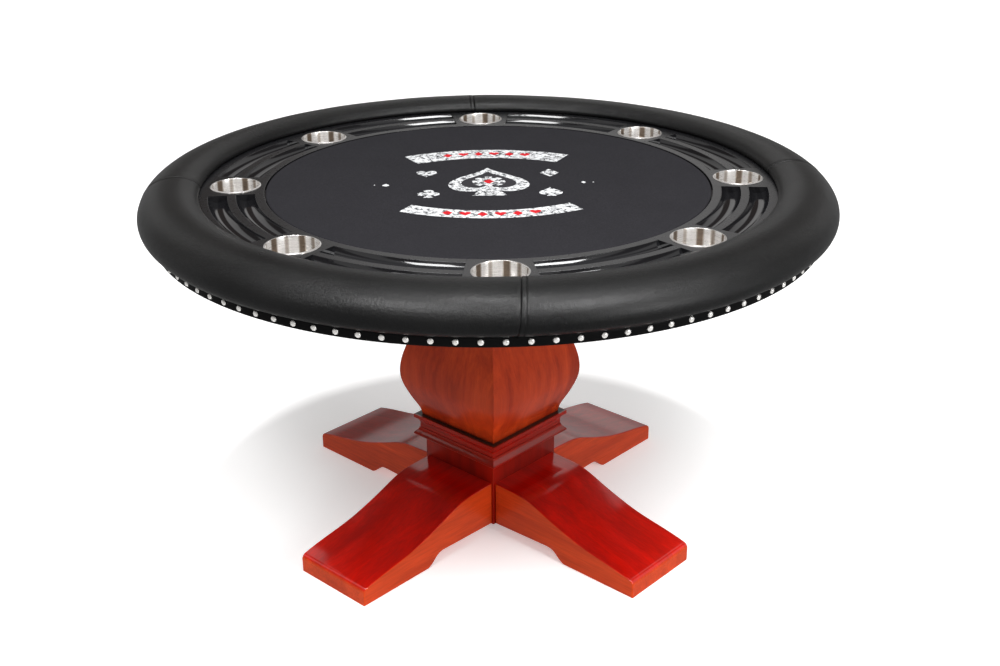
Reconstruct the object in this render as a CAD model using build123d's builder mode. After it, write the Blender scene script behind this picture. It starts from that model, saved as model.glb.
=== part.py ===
"""Round poker table on a square urn pedestal, millimetres, +Z up.

The origin is on the floor, on the table's vertical axis. The legs point along
+X, -X, +Y and -Y, and the cup holders stand every 45 degrees from +X.
"""
from build123d import *
from math import cos, radians, sin
import os

os.makedirs("parts", exist_ok=True)

# --- driving dimensions of the top -------------------------------------------------
table_radius = 698.5          # 55 in across the padded rail
rack_top = 747.3              # top face of the chip trays and cup panels
rack_thickness = 18.0
rack_inner_radius = 452.0
rack_outer_radius = 590.0
rack_edge_round = 1.0
cup_count = 8
cup_pitch = 360 / cup_count
panel_half_angle = 7.0        # a cup panel spans this much each side of its cup
joint_half_angle = 0.02       # half of the hairline joint between tray and panel

trough_radii = (488.5, 543.0)  # centre lines of the two chip channels
trough_section_radius = 20.0
trough_depth = 13.5

cup_circle_radius = 512.7
cup_inner_radius = 47.0
cup_wall = 1.2
cup_rim_radius = 51.0
cup_rim_height = 2.7
cup_rim_lean = 0.6            # the rim's highest line is this far outside its middle
cup_depth = 66.0
cup_floor_round = 6.0
cup_clearance = 1.0

deck_thickness = 18.0
deck_radius = 650.0

board_thickness = 12.0
play_foam_thickness = 4.0
cloth_thickness = 1.5
board_radius = 447.5
cloth_side = 2.0
cloth_edge_round = 3.0

# --- driving dimensions of the rail ------------------------------------------------
rail_inner_radius = 591.2
rail_nose_radius = 579.3
rail_top = 776.5
vinyl_thickness = 2.0
padding_gap = 0.2             # the padding stands this far off the rack and the ring
nose_flat = 5.0               # flat underside of the padding's inner lip
tuck_reach = 1.0              # the padding ends this far outside the ring's edge
spacer_thickness = 14.0
ring_thickness = 18.0
ring_inner_radius = 592.0
ring_outer_radius = 671.0
seam_angle = -43.8            # first of four seams, 1.2 degrees past a cup's line
seam_half_angle = 0.02
nail_count = 105
nail_phase = 3.1
nail_head_radius = 5.3
nail_head_height = 3.2
nail_shank_radius = 0.9
nail_shank_length = 9.0
nail_gap = 0.05
nail_rim_height = 0.2         # upright edge left under the dome
screw_radius = 2.75
screw_head_radius = 5.5
screw_head_height = 3.5
screw_head_chamfer = 1.0
plate_screw_spacing_x = 360.0
plate_screw_spacing_y = 180.0
screw_clearance = 0.15
rail_screw_count = 16
rail_screw_circle = 615.0
rail_screw_phase = 11.25
rail_screw_bite = 12.0

# --- driving dimensions of the pedestal --------------------------------------------
block_half = 100.7
block_bottom = 20.5
block_wall = 32.0
block_web = 25.0
block_corner_chamfer = 0.8
collar_bottom = 171.0
collar_top = 221.4
collar_half = 119.0
collar_plate_half = 116.0
collar_plate_thickness = 6.0
column_inner_half = 76.0
mitre_reach = 180.0           # lengths are made this long each way, then mitred
top_plate_half = 210.0
top_plate_thickness = 25.0
top_plate_chamfer = 6.0
corner_block_side = 27.0
tie_rod_offset = 34.0

leg_half_width = 95.1
leg_end = 471.5
leg_edge_round = 2.5
leg_top_at_block = 119.8
leg_arch_start = 243.0
leg_foot_start = 292.7

bolt_radius = 5.0
bolt_clearance = 0.5
bolt_head_radius = 8.5
bolt_head_height = 7.0
bolt_height = 72.0
bolt_offset = 50.0
bolt_reach = 62.0
bolt_hole_spare = 2.0         # a bolt's hole runs on this far past its end
barrel_radius = 7.0
barrel_length = 24.0
barrel_clearance = 0.1
washer_radius = 15.0
washer_thickness = 2.5
nut_radius = 9.8
nut_height = 8.0
rod_end = 2.0                 # how far a rod stands past its nut
rod_chamfer = 0.8
counterbore_depth = 14.5
barrel_distance = 150.7       # from the axis to a barrel nut

# --- levels worked out from the dimensions above -----------------------------------
rack_bottom = rack_top - rack_thickness
deck_bottom = rack_bottom - deck_thickness
spacer_bottom = deck_bottom - spacer_thickness
ring_bottom = spacer_bottom - ring_thickness
collar_plate_bottom = collar_top - collar_plate_thickness
top_plate_bottom = deck_bottom - top_plate_thickness
web_bottom = collar_plate_bottom - block_web
board_top = rack_bottom + board_thickness
play_foam_top = board_top + play_foam_thickness
cloth_top = play_foam_top + cloth_thickness
cup_outer_radius = cup_inner_radius + cup_wall
cup_hole_radius = cup_outer_radius + cup_clearance
cup_floor = rack_top - cup_depth
trough_centre = rack_top - trough_depth + trough_section_radius
quarter_turns = range(4)


def radial_plane(angle):
    """Upright plane through the table's axis, with its x pointing out at the angle."""
    out = (cos(radians(angle)), sin(radians(angle)), 0)
    return Plane(origin=(0, 0, 0), x_dir=out, z_dir=(out[1], -out[0], 0))


def outward_plane(angle, distance, height):
    """Upright plane that faces out at the angle, with its x along the table's floor."""
    turn = radians(angle)
    return Plane(
        origin=(distance * cos(turn), distance * sin(turn), height),
        x_dir=(-sin(turn), cos(turn), 0),
        z_dir=(cos(turn), sin(turn), 0),
    )


def mitre_plane(angle):
    """Upright plane through the axis whose kept side faces the angle."""
    return Plane(origin=(0, 0, 0), z_dir=(cos(radians(angle)), sin(radians(angle)), 0))


def write(piece, label):
    """Label a finished piece and write its STEP file."""
    piece.part.label = label
    export_step(piece.part, f"parts/{label}.step")


# --- deck and rail rings -----------------------------------------------------------
with BuildPart() as deck_panel:
    with BuildSketch(Plane.XY.offset(deck_bottom)):
        Circle(deck_radius)
        with PolarLocations(cup_circle_radius, cup_count):
            Circle(cup_hole_radius, mode=Mode.SUBTRACT)
    extrude(amount=deck_thickness)
    with BuildSketch(Plane.XY.offset(deck_bottom)):
        with PolarLocations(rail_screw_circle, rail_screw_count, rail_screw_phase):
            Circle(screw_radius + screw_clearance)
    extrude(amount=rail_screw_bite + screw_clearance, mode=Mode.SUBTRACT)
    with BuildSketch(Plane.XY.offset(deck_bottom)):
        with GridLocations(plate_screw_spacing_x, plate_screw_spacing_y, 2, 3):
            Circle(screw_radius + screw_clearance)
    extrude(amount=rail_screw_bite + screw_clearance, mode=Mode.SUBTRACT)
write(deck_panel, "deck_panel")

with BuildPart() as rail_spacer:
    with BuildSketch(Plane.XY.offset(spacer_bottom)):
        Circle(deck_radius)
        Circle(ring_inner_radius, mode=Mode.SUBTRACT)
        with PolarLocations(rail_screw_circle, rail_screw_count, rail_screw_phase):
            Circle(screw_radius + screw_clearance, mode=Mode.SUBTRACT)
    extrude(amount=spacer_thickness)
write(rail_spacer, "rail_spacer")

with BuildPart() as rail_base:
    with BuildSketch(Plane.XY.offset(ring_bottom)):
        Circle(ring_outer_radius)
        Circle(ring_inner_radius, mode=Mode.SUBTRACT)
        with PolarLocations(rail_screw_circle, rail_screw_count, rail_screw_phase):
            Circle(screw_radius + screw_clearance, mode=Mode.SUBTRACT)
    extrude(amount=ring_thickness)
write(rail_base, "rail_base")

with BuildPart() as rail_screw:
    with BuildSketch(Plane.XY.offset(ring_bottom - screw_head_height)):
        with Locations((rail_screw_circle, 0)):
            Circle(screw_head_radius)
    extrude(amount=screw_head_height)
    chamfer(rail_screw.faces().sort_by(Axis.Z)[0].edges(), length=screw_head_chamfer)
    with BuildSketch(Plane.XY.offset(ring_bottom)):
        with Locations((rail_screw_circle, 0)):
            Circle(screw_radius)
    extrude(amount=ring_thickness + spacer_thickness + rail_screw_bite)
with BuildPart() as rail_screws:
    with PolarLocations(0, rail_screw_count, rail_screw_phase):
        add(rail_screw.part)
write(rail_screws, "rail_screws")

# --- rail padding ------------------------------------------------------------------
# One closed section holds foam and vinyl: the padding bulges over the rack on its
# inner side and past the skirt band on its outer side.
with BuildSketch(Plane.XZ) as rail_section:
    with BuildLine():
        nose = Line(
            (rail_inner_radius, rack_top + padding_gap),
            (rail_nose_radius + nose_flat, rack_top + padding_gap),
        )
        lip = ThreePointArc(nose @ 1, (rail_nose_radius, 753.5), (585, 764))
        rise = ThreePointArc(lip @ 1, (603, 772.8), (625, rail_top))
        crown = ThreePointArc(rise @ 1, (651, 773.2), (675, 762.5))
        shoulder = ThreePointArc(crown @ 1, (692, 747), (table_radius, 730.5))
        tuck = ThreePointArc(shoulder @ 1, (695.2, 713), (685, 702.5))
        Polyline(
            tuck @ 1,
            (ring_outer_radius + tuck_reach, spacer_bottom + padding_gap),
            (rail_inner_radius, spacer_bottom + padding_gap),
            nose @ 0,
        )
    make_face()
with BuildSketch(Plane.XZ) as foam_section:
    add(rail_section.sketch_local)
    offset(amount=-vinyl_thickness, mode=Mode.REPLACE)

with BuildPart() as rail_foam:
    with BuildSketch(Plane.XZ):
        add(foam_section.sketch_local)
        Rectangle(2 * deck_radius, 2 * rack_bottom, mode=Mode.SUBTRACT)
    revolve(axis=Axis.Z)
write(rail_foam, "rail_foam")

for number, quarter in enumerate(quarter_turns, start=1):
    start = seam_angle + 90 * quarter + seam_half_angle
    with BuildPart() as rail_cover:
        with BuildSketch(radial_plane(start)):
            add(rail_section.sketch_local)
            add(foam_section.sketch_local, mode=Mode.SUBTRACT)
            Rectangle(2 * deck_radius, 2 * rack_bottom, mode=Mode.SUBTRACT)
        revolve(axis=Axis.Z, revolution_arc=90 - 2 * seam_half_angle)
    write(rail_cover, f"rail_cover_{number}")

with BuildPart() as skirt_band:
    with BuildSketch(Plane.XY.offset(ring_bottom)):
        Circle(ring_outer_radius + vinyl_thickness)
        Circle(ring_outer_radius, mode=Mode.SUBTRACT)
    extrude(amount=ring_thickness)
write(skirt_band, "skirt_band")

# A nail has a domed head that lies on the band and a shank driven into the ring.
band_face = ring_outer_radius + vinyl_thickness + nail_gap
nail_height = ring_bottom + ring_thickness / 2
band_face_plane = outward_plane(0, band_face, nail_height)
with BuildPart() as nail:
    with BuildSketch(band_face_plane):
        Circle(nail_head_radius)
    extrude(amount=nail_head_height)
    fillet(nail.faces().sort_by(Axis.X)[-1].edges(), radius=nail_head_height - nail_rim_height)
    with BuildSketch(band_face_plane):
        Circle(nail_shank_radius)
    extrude(amount=-nail_shank_length)
with BuildPart() as nailheads:
    with PolarLocations(0, nail_count, nail_phase):
        add(nail.part)
write(nailheads, "nailheads")

# --- chip trays, cup panels and cup holders ----------------------------------------
for number in range(1, cup_count + 1):
    cup_angle = cup_pitch * (number - 1)
    tray_start = cup_angle + panel_half_angle + joint_half_angle
    tray_arc = cup_pitch - 2 * (panel_half_angle + joint_half_angle)
    with BuildPart() as chip_tray:
        with BuildSketch(radial_plane(tray_start)) as tray_section:
            with Locations(((rack_inner_radius + rack_outer_radius) / 2, (rack_top + rack_bottom) / 2)):
                Rectangle(rack_outer_radius - rack_inner_radius, rack_thickness)
            with Locations(*[(radius, trough_centre) for radius in trough_radii]):
                Circle(trough_section_radius, mode=Mode.SUBTRACT)
            fillet(tray_section.vertices().group_by(Axis.Z)[-1], radius=rack_edge_round)
        revolve(axis=Axis.Z, revolution_arc=tray_arc)
    write(chip_tray, f"chip_tray_{number}")

    panel_arc = 2 * (panel_half_angle - joint_half_angle)
    cup_centre = (
        cup_circle_radius * cos(radians(cup_angle)),
        cup_circle_radius * sin(radians(cup_angle)),
    )
    with BuildPart() as cup_panel:
        with BuildSketch(radial_plane(cup_angle - panel_arc / 2)) as panel_section:
            with Locations(((rack_inner_radius + rack_outer_radius) / 2, (rack_top + rack_bottom) / 2)):
                Rectangle(rack_outer_radius - rack_inner_radius, rack_thickness)
            fillet(panel_section.vertices().group_by(Axis.Z)[-1], radius=rack_edge_round)
        revolve(axis=Axis.Z, revolution_arc=panel_arc)
        with BuildSketch(Plane.XY.offset(rack_bottom)):
            with Locations(cup_centre):
                Circle(cup_hole_radius)
        extrude(amount=rack_thickness, mode=Mode.SUBTRACT)
    write(cup_panel, f"cup_panel_{number}")

# A cup holder is a spun cup: a flat floor, a straight wall and a rim rolled outward
# that rests on its panel.
with BuildPart() as cup_at_axis:
    with BuildSketch(Plane.XZ) as cup_section:
        with BuildLine():
            outside = FilletPolyline(
                (0, cup_floor),
                (cup_outer_radius, cup_floor),
                (cup_outer_radius, rack_top),
                radius=cup_floor_round,
            )
            rim_flat = Line(outside @ 1, (cup_rim_radius, rack_top))
            rim_roll = ThreePointArc(
                rim_flat @ 1,
                ((cup_rim_radius + cup_inner_radius) / 2 + cup_rim_lean, rack_top + cup_rim_height),
                (cup_inner_radius, rack_top),
            )
            inside = FilletPolyline(
                rim_roll @ 1,
                (cup_inner_radius, cup_floor + cup_wall),
                (0, cup_floor + cup_wall),
                radius=cup_floor_round - cup_wall,
            )
            Line(inside @ 1, outside @ 0)
        make_face()
    revolve(axis=Axis.Z)
for number in range(1, cup_count + 1):
    with BuildPart() as cup_holder:
        with PolarLocations(cup_circle_radius, 1, cup_pitch * (number - 1)):
            add(cup_at_axis.part)
    write(cup_holder, f"cup_holder_{number}")

# --- playing surface, which lifts out of the rack ----------------------------------
with BuildPart() as play_board:
    with BuildSketch(Plane.XY.offset(rack_bottom)):
        Circle(board_radius)
    extrude(amount=board_thickness)
write(play_board, "play_board")

with BuildPart() as play_foam:
    with BuildSketch(Plane.XY.offset(board_top)):
        Circle(board_radius)
    extrude(amount=play_foam_thickness)
write(play_foam, "play_foam")

with BuildPart() as play_cloth:
    with BuildSketch(Plane.XY.offset(rack_bottom)):
        Circle(board_radius + cloth_side)
    extrude(amount=cloth_top - rack_bottom)
    fillet(play_cloth.faces().sort_by(Axis.Z)[-1].edges(), radius=cloth_edge_round)
    with BuildSketch(Plane.XY.offset(rack_bottom)):
        Circle(board_radius)
    extrude(amount=play_foam_top - rack_bottom, mode=Mode.SUBTRACT)
write(play_cloth, "play_cloth")

# --- column ------------------------------------------------------------------------
with BuildPart() as top_plate:
    with BuildSketch(Plane.XY.offset(top_plate_bottom)):
        Rectangle(2 * top_plate_half, 2 * top_plate_half)
    extrude(amount=top_plate_thickness)
    chamfer(top_plate.faces().sort_by(Axis.Z)[0].edges(), length=top_plate_chamfer)
    with BuildSketch(Plane.XY.offset(top_plate_bottom)):
        with GridLocations(plate_screw_spacing_x, plate_screw_spacing_y, 2, 3):
            Circle(screw_radius + screw_clearance)
        with GridLocations(2 * tie_rod_offset, 2 * tie_rod_offset, 2, 2):
            Circle(bolt_radius + bolt_clearance)
    extrude(amount=top_plate_thickness, mode=Mode.SUBTRACT)
    with BuildSketch(Plane.XY.offset(deck_bottom)):
        with GridLocations(2 * tie_rod_offset, 2 * tie_rod_offset, 2, 2):
            Circle(washer_radius + 2 * bolt_clearance)
    extrude(amount=-counterbore_depth, mode=Mode.SUBTRACT)
write(top_plate, "top_plate")

with BuildPart() as plate_screws:
    with BuildSketch(Plane.XY.offset(top_plate_bottom - screw_head_height)):
        with GridLocations(plate_screw_spacing_x, plate_screw_spacing_y, 2, 3):
            Circle(screw_head_radius)
    extrude(amount=screw_head_height)
    with BuildSketch(Plane.XY.offset(top_plate_bottom)):
        with GridLocations(plate_screw_spacing_x, plate_screw_spacing_y, 2, 3):
            Circle(screw_radius)
    extrude(amount=top_plate_thickness + rail_screw_bite)
write(plate_screws, "plate_screws")

with BuildSketch(Plane.XZ) as panel_profile:
    with BuildLine():
        foot = Line((column_inner_half, collar_top), (105.5, collar_top))
        urn = Spline(
            foot @ 1,
            (108, 234),
            (118, 256.5),
            (129.5, 284),
            (136.4, 308),
            (138, 328),
            (135, 356),
            (126, 390),
            (112, 432),
            (100, 480),
            (93.5, 535),
            (93, 590),
            (97, 632),
            (106, 664),
        )
        Polyline(
            urn @ 1,
            (110, 664),
            (110, top_plate_bottom),
            (column_inner_half, top_plate_bottom),
            foot @ 0,
        )
    make_face()
with BuildSketch(Plane.XZ) as moulding_profile:
    with BuildLine():
        sole = Line((block_half, collar_bottom), (116.8, collar_bottom))
        toe = ThreePointArc(sole @ 1, (119.2, 172.4), (119.6, 175.5))
        ogee = Spline(
            toe @ 1,
            (116.6, 179.6),
            (112.6, 184),
            (110.6, 189.5),
            tangents=((-0.4, 1), (-0.1, 1)),
        )
        step = Polyline(ogee @ 1, (109.2, 189.5), (109.2, 196))
        cove = ThreePointArc(step @ 1, (111.2, 206.6), (116.6, 211.4))
        Polyline(
            cove @ 1,
            (116.6, 213.2),
            (collar_half, 213.2),
            (collar_half, collar_top),
            (collar_plate_half, collar_top),
            (collar_plate_half, collar_plate_bottom),
            (block_half, collar_plate_bottom),
            sole @ 0,
        )
    make_face()

for number, quarter in enumerate(quarter_turns, start=1):
    facing = 90 * quarter
    with BuildPart() as column_panel:
        with BuildSketch(radial_plane(facing)):
            add(panel_profile.sketch_local)
        extrude(amount=mitre_reach, both=True)
        split(bisect_by=mitre_plane(facing + 45), keep=Keep.TOP)
        split(bisect_by=mitre_plane(facing - 45), keep=Keep.TOP)
    write(column_panel, f"column_panel_{number}")

    with BuildPart() as collar_moulding:
        with BuildSketch(radial_plane(facing)):
            add(moulding_profile.sketch_local)
        extrude(amount=mitre_reach, both=True)
        split(bisect_by=mitre_plane(facing + 45), keep=Keep.TOP)
        split(bisect_by=mitre_plane(facing - 45), keep=Keep.TOP)
    write(collar_moulding, f"collar_moulding_{number}")

with BuildPart() as column_blocks:
    with BuildSketch(Plane.XY.offset(collar_top)):
        block_centre = 2 * column_inner_half - corner_block_side
        with GridLocations(block_centre, block_centre, 2, 2):
            Rectangle(corner_block_side, corner_block_side)
    extrude(amount=top_plate_bottom - collar_top)
write(column_blocks, "column_blocks")

with BuildPart() as collar_plate:
    with BuildSketch(Plane.XY.offset(collar_plate_bottom)):
        Rectangle(2 * collar_plate_half, 2 * collar_plate_half)
        with GridLocations(2 * tie_rod_offset, 2 * tie_rod_offset, 2, 2):
            Circle(bolt_radius + bolt_clearance, mode=Mode.SUBTRACT)
    extrude(amount=collar_plate_thickness)
write(collar_plate, "collar_plate")

# --- base block and legs -----------------------------------------------------------
with BuildPart() as base_block:
    with BuildSketch(Plane.XY.offset(block_bottom)):
        Rectangle(2 * block_half, 2 * block_half)
    extrude(amount=collar_plate_bottom - block_bottom)
    chamfer(base_block.edges().filter_by(Axis.Z), length=block_corner_chamfer)
    with BuildSketch(Plane.XY.offset(block_bottom)):
        Rectangle(2 * (block_half - block_wall), 2 * (block_half - block_wall))
    extrude(amount=web_bottom - block_bottom, mode=Mode.SUBTRACT)
    with BuildSketch(Plane.XY.offset(web_bottom)):
        with GridLocations(2 * tie_rod_offset, 2 * tie_rod_offset, 2, 2):
            Circle(bolt_radius + bolt_clearance)
    extrude(amount=block_web, mode=Mode.SUBTRACT)
    for quarter in quarter_turns:
        with BuildSketch(outward_plane(90 * quarter, block_half - block_wall, bolt_height)):
            with GridLocations(2 * bolt_offset, 0, 2, 1):
                Circle(bolt_radius + bolt_clearance)
        extrude(amount=block_wall, mode=Mode.SUBTRACT)
write(base_block, "base_block")

# A leg sweeps down from a shoulder beside the block to a flat foot, and its underside
# arches between the block and the foot.
with BuildPart() as leg_along_x:
    with BuildSketch(Plane.XZ):
        with BuildLine():
            shoulder = Spline(
                (block_half, leg_top_at_block),
                (150, 118),
                (190, 113.5),
                (240, 96),
                (292, 77.5),
                (340, 63.8),
                (400, 52.8),
                (462, 40),
            )
            toe_round = TangentArc(shoulder @ 1, (leg_end, 30), tangent=shoulder % 1)
            under = Polyline(
                toe_round @ 1,
                (leg_end, 0),
                (leg_foot_start, 0),
            )
            arch = Spline(
                under @ 1,
                (279, 8),
                (267, 18.5),
                (leg_arch_start, 24.6),
                tangents=((-1, 0.35), (-1, 0)),
            )
            Polyline(arch @ 1, (block_half, block_bottom), shoulder @ 0)
        make_face()
    extrude(amount=leg_half_width, both=True)
    side_edges = leg_along_x.faces().filter_by(Axis.Y).edges()
    fillet(side_edges.sort_by(Axis.X)[1:], radius=leg_edge_round)
    with BuildSketch(outward_plane(0, block_half, bolt_height)):
        with GridLocations(2 * bolt_offset, 0, 2, 1):
            Circle(bolt_radius + bolt_clearance)
    extrude(amount=bolt_reach + bolt_hole_spare, mode=Mode.SUBTRACT)
    with BuildSketch(Plane.XY):
        with Locations((barrel_distance, bolt_offset), (barrel_distance, -bolt_offset)):
            Circle(barrel_radius + barrel_clearance)
    extrude(amount=bolt_height + barrel_length / 2 + barrel_clearance, mode=Mode.SUBTRACT)

with BuildPart() as barrel_nut_pair:
    with BuildSketch(Plane.XY.offset(bolt_height - barrel_length / 2)):
        with Locations((barrel_distance, bolt_offset), (barrel_distance, -bolt_offset)):
            Circle(barrel_radius)
    extrude(amount=barrel_length)
    with BuildSketch(outward_plane(0, barrel_distance - barrel_radius, bolt_height)):
        with GridLocations(2 * bolt_offset, 0, 2, 1):
            Circle(bolt_radius + barrel_clearance)
    extrude(amount=2 * barrel_radius, mode=Mode.SUBTRACT)

for number, quarter in enumerate(quarter_turns, start=1):
    with BuildPart() as leg:
        with PolarLocations(0, 1, 90 * quarter):
            add(leg_along_x.part)
    write(leg, f"leg_{number}")

with BuildPart() as barrel_nuts:
    with PolarLocations(0, len(quarter_turns)):
        add(barrel_nut_pair.part)
write(barrel_nuts, "barrel_nuts")

# --- rods, bolts, nuts and washers -------------------------------------------------
head_face = block_half - block_wall - washer_thickness
with BuildPart() as leg_bolts:
    for quarter in quarter_turns:
        with BuildSketch(outward_plane(90 * quarter, head_face - bolt_head_height, bolt_height)):
            with GridLocations(2 * bolt_offset, 0, 2, 1):
                RegularPolygon(bolt_head_radius, 6)
        extrude(amount=bolt_head_height)
        with BuildSketch(outward_plane(90 * quarter, head_face, bolt_height)):
            with GridLocations(2 * bolt_offset, 0, 2, 1):
                Circle(bolt_radius)
        extrude(amount=washer_thickness + block_wall + bolt_reach)
write(leg_bolts, "leg_bolts")

lower_washer = web_bottom - washer_thickness
lower_nut = lower_washer - nut_height
upper_washer = deck_bottom - counterbore_depth
upper_nut = upper_washer + washer_thickness
with BuildPart() as tie_rods:
    with BuildSketch(Plane.XY.offset(lower_nut - rod_end)):
        with GridLocations(2 * tie_rod_offset, 2 * tie_rod_offset, 2, 2):
            Circle(bolt_radius)
    extrude(amount=upper_nut + nut_height + rod_end - (lower_nut - rod_end))
    chamfer(tie_rods.faces().filter_by(Axis.Z).edges(), length=rod_chamfer)
write(tie_rods, "tie_rods")

with BuildPart() as rod_nuts:
    for level in (lower_nut, upper_nut):
        with BuildSketch(Plane.XY.offset(level)):
            with GridLocations(2 * tie_rod_offset, 2 * tie_rod_offset, 2, 2):
                RegularPolygon(nut_radius, 6)
                Circle(bolt_radius + barrel_clearance, mode=Mode.SUBTRACT)
        extrude(amount=nut_height)
write(rod_nuts, "rod_nuts")

with BuildPart() as washers:
    for level in (lower_washer, upper_washer):
        with BuildSketch(Plane.XY.offset(level)):
            with GridLocations(2 * tie_rod_offset, 2 * tie_rod_offset, 2, 2):
                Circle(washer_radius)
                Circle(bolt_radius + bolt_clearance, mode=Mode.SUBTRACT)
        extrude(amount=washer_thickness)
    for quarter in quarter_turns:
        with BuildSketch(outward_plane(90 * quarter, head_face, bolt_height)):
            with GridLocations(2 * bolt_offset, 0, 2, 1):
                Circle(washer_radius)
                Circle(bolt_radius + bolt_clearance, mode=Mode.SUBTRACT)
        extrude(amount=washer_thickness)
write(washers, "washers")
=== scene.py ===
"""The looks of a round pedestal poker table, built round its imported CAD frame. Metres, +Z up."""
import math
import random

import bpy
from mathutils import Matrix, Vector, noise


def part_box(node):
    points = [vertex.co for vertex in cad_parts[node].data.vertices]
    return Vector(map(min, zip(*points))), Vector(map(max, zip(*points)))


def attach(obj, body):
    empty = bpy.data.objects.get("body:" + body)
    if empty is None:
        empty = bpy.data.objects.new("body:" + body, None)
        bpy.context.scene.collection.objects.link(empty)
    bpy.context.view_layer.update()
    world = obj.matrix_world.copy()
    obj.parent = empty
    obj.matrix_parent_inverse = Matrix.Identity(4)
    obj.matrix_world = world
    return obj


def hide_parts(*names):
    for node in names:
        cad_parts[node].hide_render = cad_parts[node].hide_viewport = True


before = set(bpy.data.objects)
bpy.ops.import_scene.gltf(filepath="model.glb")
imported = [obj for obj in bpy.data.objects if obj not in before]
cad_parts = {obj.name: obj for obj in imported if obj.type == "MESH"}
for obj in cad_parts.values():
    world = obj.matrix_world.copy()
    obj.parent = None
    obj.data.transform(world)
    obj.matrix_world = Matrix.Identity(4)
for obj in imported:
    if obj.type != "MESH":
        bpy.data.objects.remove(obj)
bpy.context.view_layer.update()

MM = 0.001

# --- the camera --------------------------------------------------------------------
CAMERA_AZIMUTH = 42.9         # degrees round the table from looking along +Y
CAMERA_DISTANCE = 2.5564      # from the table's axis, along the floor
CAMERA_HEIGHT = 1.5288
CAMERA_PAN = 0.49
CAMERA_PITCH = 23.63
CAMERA_ROLL = -0.2
CAMERA_LENS = 46.86
SENSOR_WIDTH = 36.0


def make_camera():
    """Set the camera where the photograph was taken from: between two legs, looking down at the rack."""
    turn = math.radians(CAMERA_AZIMUTH)
    pan = turn - math.radians(CAMERA_PAN)
    pitch = math.radians(CAMERA_PITCH)
    roll = math.radians(CAMERA_ROLL)
    ahead = Vector((-math.sin(pan) * math.cos(pitch), math.cos(pan) * math.cos(pitch), -math.sin(pitch)))
    level = Vector((math.cos(pan), math.sin(pan), 0))
    upright = level.cross(ahead)
    right = level * math.cos(roll) + upright * math.sin(roll)
    up = upright * math.cos(roll) - level * math.sin(roll)
    data = bpy.data.cameras.new("camera")
    data.lens = CAMERA_LENS
    data.sensor_width = SENSOR_WIDTH
    camera = bpy.data.objects.new("camera", data)
    bpy.context.scene.collection.objects.link(camera)
    axes = Matrix((right, up, -ahead)).transposed().to_4x4()
    place = Vector((math.sin(turn) * CAMERA_DISTANCE, -math.cos(turn) * CAMERA_DISTANCE, CAMERA_HEIGHT))
    camera.matrix_world = Matrix.Translation(place) @ axes
    bpy.context.scene.camera = camera


make_camera()

# --- places and sizes, read from the frame -----------------------------------------
RACK_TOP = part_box("chip_tray_1")[1].z
CLOTH_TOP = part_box("play_cloth")[1].z
CLOTH_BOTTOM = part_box("play_cloth")[0].z
CLOTH_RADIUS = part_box("play_cloth")[1].x
BAND_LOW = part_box("skirt_band")[0].z
BAND_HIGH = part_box("skirt_band")[1].z
BAND_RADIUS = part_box("skirt_band")[1].x
SEAM_ANGLE = -43.5            # the first of four seams, 1.5 degrees past a cup's line
NAIL_COUNT = 105
NAIL_PHASE = 3.1
NAIL_RADIUS = 5.3 * MM
NAIL_HEIGHT = 3.3 * MM
NAIL_SINK = 0.3 * MM          # how far a nail's edge sits in the vinyl
NAIL_TIP = 0.03               # the most that a nail leans each way, as a slope
BAND_SWELL = 0.35 * MM        # how much further out the band is between nails than at one
BAND_PINCH = 0.25 * MM        # how far a nail presses it in


# --- mesh helpers ------------------------------------------------------------------
def polar(radius, angle, height):
    """A point from its radius, its angle in degrees and its height."""
    turn = math.radians(angle)
    return Vector((radius * math.cos(turn), radius * math.sin(turn), height))


def smooth_path(points, steps):
    """A Catmull-Rom curve through 2D points, with so many steps to each span."""
    ends = [points[0]] + list(points) + [points[-1]]
    path = []
    for a, b, c, d in zip(ends, ends[1:], ends[2:], ends[3:]):
        for step in range(steps):
            t = step / steps
            path.append(tuple(
                0.5 * (2 * q + (r - p) * t + (2 * p - 5 * q + 4 * r - s) * t ** 2
                       + (3 * q - p - 3 * r + s) * t ** 3)
                for p, q, r, s in zip(a, b, c, d)
            ))
    path.append(tuple(points[-1]))
    return path


def even_path(path, count):
    """The same path with count + 1 points spaced evenly along it."""
    lengths = [0.0]
    for a, b in zip(path, path[1:]):
        lengths.append(lengths[-1] + math.dist(a, b))
    points = []
    span = 0
    for step in range(count + 1):
        wanted = lengths[-1] * step / count
        while span < len(path) - 2 and lengths[span + 1] < wanted:
            span += 1
        share = (wanted - lengths[span]) / max(lengths[span + 1] - lengths[span], 1e-9)
        points.append(tuple(p + (q - p) * share for p, q in zip(path[span], path[span + 1])))
    return points


def make_piece(name, points, faces, material, body, smooth=True):
    """A mesh piece that rides on a body."""
    mesh = bpy.data.meshes.new(name)
    mesh.from_pydata([tuple(p) for p in points], [], faces)
    mesh.validate()
    piece = bpy.data.objects.new(name, mesh)
    bpy.context.scene.collection.objects.link(piece)
    mesh.materials.append(material)
    mesh.polygons.foreach_set("use_smooth", [smooth] * len(mesh.polygons))
    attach(piece, body)
    return piece


def grid_faces(rows, columns, wrap_rows=False, wrap_columns=False, start=0):
    """Quads over a grid whose points run along its columns first."""
    faces = []
    for row in range(rows if wrap_rows else rows - 1):
        for column in range(columns if wrap_columns else columns - 1):
            after_row = (row + 1) % rows
            after_column = (column + 1) % columns
            faces.append((
                start + row * columns + column,
                start + row * columns + after_column,
                start + after_row * columns + after_column,
                start + after_row * columns + column,
            ))
    return faces


def turned(section, steps):
    """Points and faces of a solid turned from a section of (radius, height), capped at both its ends."""
    points = [polar(r, 360 * step / steps, z) for step in range(steps) for r, z in section]
    columns = len(section)
    faces = grid_faces(steps, columns, wrap_rows=True)
    faces.append(tuple(step * columns for step in range(steps)))
    faces.append(tuple(step * columns + columns - 1 for step in reversed(range(steps))))
    return points, faces


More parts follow.
